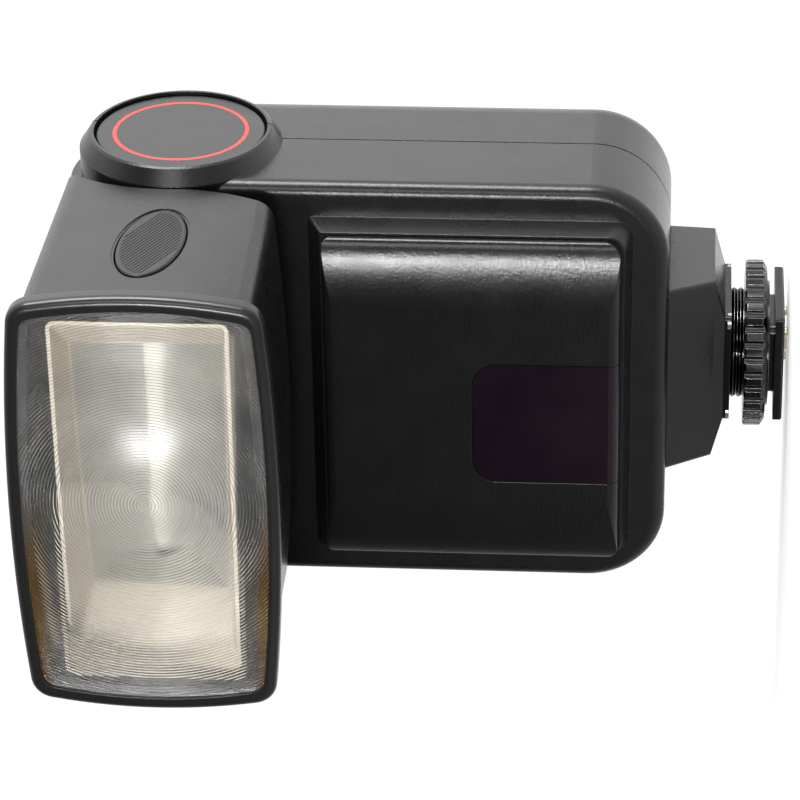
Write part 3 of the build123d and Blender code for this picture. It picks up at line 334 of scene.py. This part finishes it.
def plain_coat(name, colour, roughness, mottling=0.1, scale=150.0, depth=0.004):
    """Paint, card, film or rubber with a little unevenness."""
    material, nodes, links, shader = new_material(name)
    cloud = noise(nodes, links, scale, *CLOUD)
    links.new(mix(nodes, links, cloud, *shades(colour, mottling)), shader.inputs["Base Color"])
    smoothest = max(roughness - COAT_GLOSS, COAT_SMOOTHEST)
    gloss = ramp(nodes, links, cloud, PATCHES, smoothest, roughness + COAT_GLOSS)
    links.new(gloss, shader.inputs["Roughness"])
    fine = noise(nodes, links, scale * COAT_GRAIN)
    links.new(bump(nodes, links, fine, depth * MM), shader.inputs["Normal"])
    return material


BLACK = (0.009, 0.009, 0.0093)
# The lens's amber, laid by position near its two long edges and towards one end: heights from its
# middle line, and the stretch of X over which it comes up.
AMBER_RIM = {"middle": 0.0971, "edges": (0.0154, 0.0178), "end": (0.002, -0.014),
            "colour": (0.84, 0.55, 0.20)}
MATERIALS = {
    "body_plastic": grained_plastic("body_plastic", BLACK, 0.27),
    "panel_plastic": grained_plastic("panel_plastic", BLACK, 0.21),
    "head_plastic": grained_plastic("head_plastic", BLACK, 0.28),
    "bezel_plastic": grained_plastic("bezel_plastic", (0.02, 0.02, 0.02), 0.24,
                                     grain=1800.0, depth=0.006),
    "cap_plastic": grained_plastic("cap_plastic", BLACK, 0.28, depth=0.035),
    "button_plastic": grained_plastic("button_plastic", BLACK, 0.36),
    "console_plastic": grained_plastic("console_plastic", BLACK, 0.36),
    "inner_plastic": grained_plastic("inner_plastic", (0.015, 0.015, 0.016), 0.5),
    "switch_plastic": grained_plastic("switch_plastic", (0.10, 0.10, 0.105), 0.45),
    "key_rubber": grained_plastic("key_rubber", (0.05, 0.05, 0.053), 0.6,
                                  grain=2000.0, depth=0.012),
    "red_inlay": plain_coat("red_inlay", (0.78, 0.045, 0.03), 0.4),
    "assist_red": plain_coat("assist_red", (0.013, 0.006, 0.012), 0.14,
                             mottling=0.2, scale=60.0, depth=0.001),
    "lamp_clear": clear_material("lamp_clear", (0.9, 0.85, 0.87)),
    "lens_clear": clear_material("lens_clear", (0.97, 0.965, 0.95), 0.10,
                                 amber_edges=AMBER_RIM, milk=0.03),
    "tube_glass": clear_material("tube_glass", (0.97, 0.97, 0.95)),
    "display_cover": clear_material("display_cover", (0.9, 0.92, 0.9)),
    "blackened_metal": worn_metal("blackened_metal", (0.035, 0.035, 0.036), 0.16,
                                  bare=(0.45, 0.45, 0.45)),
    "contact_metal": worn_metal("contact_metal", (0.72, 0.66, 0.52), 0.25),
    "screw_steel": worn_metal("screw_steel", (0.5, 0.5, 0.51), 0.3),
    "electrode_metal": worn_metal("electrode_metal", (0.6, 0.6, 0.6), 0.3),
    "motor_metal": worn_metal("motor_metal", (0.65, 0.65, 0.67), 0.3),
    "reflector_metal": worn_metal("reflector_metal", (0.60, 0.59, 0.57), 0.66,
                                  scratch=300.0, depth=0.02),
    "card_white": plain_coat("card_white", (0.64, 0.58, 0.485), 0.5, mottling=0.05),
    "board_green": plain_coat("board_green", (0.02, 0.12, 0.05), 0.35),
    "coil_wire": plain_coat("coil_wire", (0.4, 0.16, 0.05), 0.4),
    "test_red": plain_coat("test_red", (0.45, 0.03, 0.02), 0.25),
    "display_glass": plain_coat("display_glass", (0.21, 0.25, 0.18), 0.3, mottling=0.05),
    "lamp_orange": plain_coat("lamp_orange", (0.8, 0.22, 0.02), 0.2),
    "cell_sleeve": plain_coat("cell_sleeve", (0.03, 0.07, 0.22), 0.3),
    "capacitor_sleeve": plain_coat("capacitor_sleeve", (0.015, 0.015, 0.02), 0.25),
}


def dress_cad_nodes():
    """Gives every CAD node the material of its slot."""
    for part in frame["record"]["subparts"]:
        node = frame["nodes"][part["node"]]
        node.data.materials.clear()
        node.data.materials.append(MATERIALS[part["material_slot"]])


# ---- outlines and pieces ----------------------------------------------------------------------
ON_FACE = 0.01 * MM                 # how near a face a vertex counts as on it
FARTHEST_REACH = 1.0
PARALLEL = 1e-15
EDGE_SLACK = 1e-6


def reach_at(outline, centre, angle):
    """Distance from centre to the outline in a direction."""
    dx, dz = math.cos(angle), math.sin(angle)
    best = FARTHEST_REACH
    for (x0, z0), (x1, z1) in zip(outline, outline[1:] + outline[:1]):
        ex, ez = x1 - x0, z1 - z0
        det = dx * ez - dz * ex
        if abs(det) < PARALLEL:
            continue
        wx, wz = x0 - centre[0], z0 - centre[1]
        along = (wx * ez - wz * ex) / det
        side = (wx * dz - wz * dx) / det
        if along > 0 and -EDGE_SLACK <= side <= 1 + EDGE_SLACK:
            best = min(best, along)
    return best


def inside_of(outline, point):
    """Whether a point lies inside an outline."""
    found = False
    for (x0, z0), (x1, z1) in zip(outline, outline[1:] + outline[:1]):
        if (z0 > point[1]) != (z1 > point[1]):
            if point[0] < x0 + (point[1] - z0) / (z1 - z0) * (x1 - x0):
                found = not found
    return found


def add_piece(name, mesh, body, slot, *replaced):
    """Turns a bmesh into a piece that rides on a body and may replace CAD nodes."""
    data = bpy.data.meshes.new(name)
    mesh.to_mesh(data)
    mesh.free()
    piece = bpy.data.objects.new(name, data)
    bpy.context.scene.collection.objects.link(piece)
    data.materials.append(MATERIALS[slot])
    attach(piece, body)
    if replaced:
        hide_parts(*replaced)


# ---- the ringed lens --------------------------------------------------------------------------
RING_PITCH = 0.5 * MM
RING_FOCUS = 0.110                  # slope of a ring is its radius over this, plus the least
RING_LEAST = 0.06
RING_STEEPEST = 0.30
RING_DRAFT = 0.22                   # share of a ring that its steep wall takes up
LENS_SEGMENTS = 360
LENS_WELD = 1e-7


def plate_outline(node):
    """The outline of a plate's front face, in order round its middle, and that middle."""
    low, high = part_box(node)
    middle = ((low.x + high.x) / 2, (low.z + high.z) / 2)
    points = {(round(v.co.x, 6), round(v.co.z, 6)) for v in frame["nodes"][node].data.vertices
              if v.co.y < low.y + ON_FACE}
    return sorted(points, key=lambda p: math.atan2(p[1] - middle[1], p[0] - middle[0])), middle


def groove_depth(radius):
    """How deep the inner face is cut at a distance from the middle of the rings."""
    ring, place = divmod(radius / RING_PITCH, 1.0)
    deep = RING_PITCH * min(ring * RING_PITCH / RING_FOCUS + RING_LEAST, RING_STEEPEST)
    if place < RING_DRAFT:
        return deep * place / RING_DRAFT
    return deep * (1 - place) / (1 - RING_DRAFT)


def ringed_lens():
    """The lens plate with its concentric prism rings cut on the inner face."""
    low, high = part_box("fresnel_lens")
    outline, centre = plate_outline("fresnel_lens")
    front, back = low.y, high.y
    angles = [2 * math.pi * i / LENS_SEGMENTS for i in range(LENS_SEGMENTS)]
    reach = [reach_at(outline, centre, a) for a in angles]
    rings = int(max(reach) / RING_PITCH) + 1
    mesh = bmesh.new()

    def corner(angle, radius, y):
        return mesh.verts.new((centre[0] + radius * math.cos(angle), y,
                               centre[1] + radius * math.sin(angle)))

    loops = []
    for i in range(rings):
        for radius in ((i + RING_DRAFT) * RING_PITCH, (i + 1) * RING_PITCH):
            cut = [min(radius, far) for far in reach]
            loops.append([corner(a, r, back - groove_depth(r)) for a, r in zip(angles, cut)])
    loops.append([corner(a, far, front) for a, far in zip(angles, reach)])
    for inner, outer in zip(loops, loops[1:]):
        for i in range(LENS_SEGMENTS):
            j = (i + 1) % LENS_SEGMENTS
            mesh.faces.new((inner[i], outer[i], outer[j], inner[j]))
    mesh.faces.new(loops[0])
    mesh.faces.new(loops[-1][::-1])
    bmesh.ops.remove_doubles(mesh, verts=mesh.verts, dist=LENS_WELD)
    bmesh.ops.dissolve_degenerate(mesh, edges=mesh.edges, dist=LENS_WELD)
    bmesh.ops.recalc_face_normals(mesh, faces=mesh.faces)
    add_piece("ringed_lens", mesh, "head_body", "lens_clear", "fresnel_lens")


# ---- ribs on the oval button ------------------------------------------------------------------
RIB_PITCH = 0.56 * MM
RIB_WIDTH = 0.34 * MM
RIB_CROWN = 0.22                    # half the crown's width, as a share of the rib's
RIB_PROUD = 0.07 * MM
RIB_SUNK = 0.02 * MM
RIB_MARGIN = 0.42 * MM
RIB_LEAN = 1.86                     # how far a rib runs along Y for each step down
RIB_LONGEST = 0.03                  # a reach past this has missed the outline


def add_rib(mesh, base, along, across, start, end):
    """One rib: a low ridge from start to end along its line, sloping down at both ends."""
    out = Vector((1, 0, 0))
    rows = []
    for place, height in ((start, 0.0), (start + RIB_WIDTH, RIB_PROUD),
                          (end - RIB_WIDTH, RIB_PROUD), (end, 0.0)):
        section = ((-0.5, -RIB_SUNK), (-RIB_CROWN, height), (RIB_CROWN, height), (0.5, -RIB_SUNK))
        rows.append([mesh.verts.new(base + along * place + across * (w * RIB_WIDTH) + out * h)
                     for w, h in section])
    for first, second in zip(rows, rows[1:]):
        for k in range(len(first)):
            n = (k + 1) % len(first)
            mesh.faces.new((first[k], first[n], second[n], second[k]))
    mesh.faces.new(rows[0])
    mesh.faces.new(rows[-1][::-1])


def button_ribs():
    """Fine slanted ribs over the face of the oval button."""
    low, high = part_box("tilt_button")
    vertices = frame["nodes"]["tilt_button"].data.vertices
    middle = Vector((0, (low.y + high.y) / 2, (low.z + high.z) / 2))
    outline = sorted(((v.co.y - middle.y, v.co.z - middle.z) for v in vertices
                      if v.co.x > high.x - ON_FACE), key=lambda p: math.atan2(p[1], p[0]))
    along = Vector((0, RIB_LEAN, -1.0)).normalized()
    across = Vector((0, 1.0, RIB_LEAN)).normalized()
    face = Vector((high.x, 0, 0))
    mesh = bmesh.new()
    more_than_enough = int(high.z / RIB_PITCH)
    for i in range(-more_than_enough, more_than_enough + 1):
        shift = i * RIB_PITCH
        place = (shift * across.y, shift * across.z)
        ahead, behind = (reach_at(outline, place, math.atan2(sign * along.z, sign * along.y))
                         - RIB_MARGIN for sign in (1, -1))
        if 0 < ahead < RIB_LONGEST and 0 < behind < RIB_LONGEST and inside_of(outline, place):
            add_rib(mesh, middle + across * shift + face, along, across, -behind, ahead)
    bmesh.ops.recalc_face_normals(mesh, faces=mesh.faces)
    add_piece("button_ribs", mesh, "tilt_button_body", "button_plastic")


# ---- floor and light --------------------------------------------------------------------------
FLOOR_SIZE = 6.0
FLOOR_GAP = 0.02 * MM
FLOOR_PALE, FLOOR_PALER = (0.86, 0.86, 0.86), (0.9, 0.9, 0.9)
FLOOR_UNLIT = (0.05, 0.05, 0.05)
FLOOR_CLOUD = 3.0
FLOOR_FRONT = (-0.07, 0.02)         # the Y over which the floor in front comes up to full light
FLOOR_FRONT_LEAST = 0.2
FLOOR_GLOW = 0.45
FLOOR_ROUGHNESS = 0.9

WORLD_SEEN = 1.05                   # strength to the camera
WORLD_BESIDE, WORLD_BESIDE_SPAN = 1.6, (-0.6, 0.15)
WORLD_REAR, WORLD_REAR_SPAN = 0.55, (0.3, 0.9)
WORLD_LEFT, WORLD_RIGHT, WORLD_RIGHT_SPAN = 0.25, 1.0, (-0.3, 0.6)

LAMP_DISTANCE = 1.2
SOFT_BOXES = (                      # name, direction from the head, width and height, radiance
    ("front_box", (0.06, -1.0, 0.02), (0.11, 0.45), 62.0),
    ("corner_box", (0.62, -0.78, 0.1), (0.28, 0.5), 5.0),
    ("right_box", (1.0, -0.02, 0.1), (0.42, 0.9), 16.0),
)


def pale_floor():
    """White to the camera; in front, dimmer to other rays, so that black plastics stay black."""
    low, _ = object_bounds()
    bpy.ops.mesh.primitive_plane_add(size=FLOOR_SIZE, location=(0, 0, low.z - FLOOR_GAP))
    floor = bpy.context.object
    floor.name = "floor"
    material, nodes, links, shader = new_material("floor")
    place = split_coordinates(nodes, links, object_coordinates(nodes))
    lit = ramp(nodes, links, place["Y"], FLOOR_FRONT, FLOOR_FRONT_LEAST, 1.0)
    lightness = arithmetic(nodes, links, "MAXIMUM", is_camera_ray(nodes), lit)
    pale = mix(nodes, links, noise(nodes, links, FLOOR_CLOUD), FLOOR_PALE, FLOOR_PALER)
    links.new(mix(nodes, links, lightness, FLOOR_UNLIT, pale), shader.inputs["Base Color"])
    shader.inputs["Roughness"].default_value = FLOOR_ROUGHNESS
    shader.inputs["Emission Color"].default_value = (1, 1, 1, 1)
    glow = ramp(nodes, links, lightness, (0.0, 1.0), 0.0, FLOOR_GLOW)
    links.new(glow, shader.inputs["Emission Strength"])
    floor.data.materials.append(material)


def soft_box(name, toward, size, radiance):
    """A rectangular lamp seen in a direction from the middle of the head, facing it."""
    low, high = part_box("head_hood")
    target = Vector((0, (low.y + high.y) / 2, (low.z + high.z) / 2))
    data = bpy.data.lights.new(name, "AREA")
    data.shape = "RECTANGLE"
    data.size, data.size_y = size
    data.energy = radiance * math.pi * size[0] * size[1]
    light = bpy.data.objects.new(name, data)
    bpy.context.scene.collection.objects.link(light)
    light.location = target + Vector(toward).normalized() * LAMP_DISTANCE
    light.rotation_mode = "QUATERNION"
    light.rotation_quaternion = (target - light.location).to_track_quat("-Z", "Y")


def studio():
    """White to the camera; to other rays white beside and behind the flash, and dark in front."""
    world = bpy.data.worlds.new("studio")
    bpy.context.scene.world = world
    world.use_nodes = True
    nodes, links = world.node_tree.nodes, world.node_tree.links
    background = nodes["Background"]
    background.inputs["Color"].default_value = (1, 1, 1, 1)
    way = split_coordinates(nodes, links, nodes.new("ShaderNodeTexCoord").outputs["Generated"])
    beside = ramp(nodes, links, way["Y"], WORLD_BESIDE_SPAN, 0.0, WORLD_BESIDE, smooth=True)
    rear = ramp(nodes, links, way["Y"], WORLD_REAR_SPAN, 0.0, WORLD_REAR)
    right = ramp(nodes, links, way["X"], WORLD_RIGHT_SPAN, WORLD_LEFT, WORLD_RIGHT)
    shared = arithmetic(nodes, links, "MULTIPLY", beside, right)
    total = arithmetic(nodes, links, "ADD", shared, rear)
    strength = mix(nodes, links, is_camera_ray(nodes), total, WORLD_SEEN, kind="FLOAT")
    links.new(strength, background.inputs["Strength"])
    for name, toward, size, radiance in SOFT_BOXES:
        soft_box(name, toward, size, radiance)


bpy.context.scene.view_settings.view_transform = "Standard"
make_camera()
dress_cad_nodes()
ringed_lens()
button_ribs()
studio()
pale_floor()
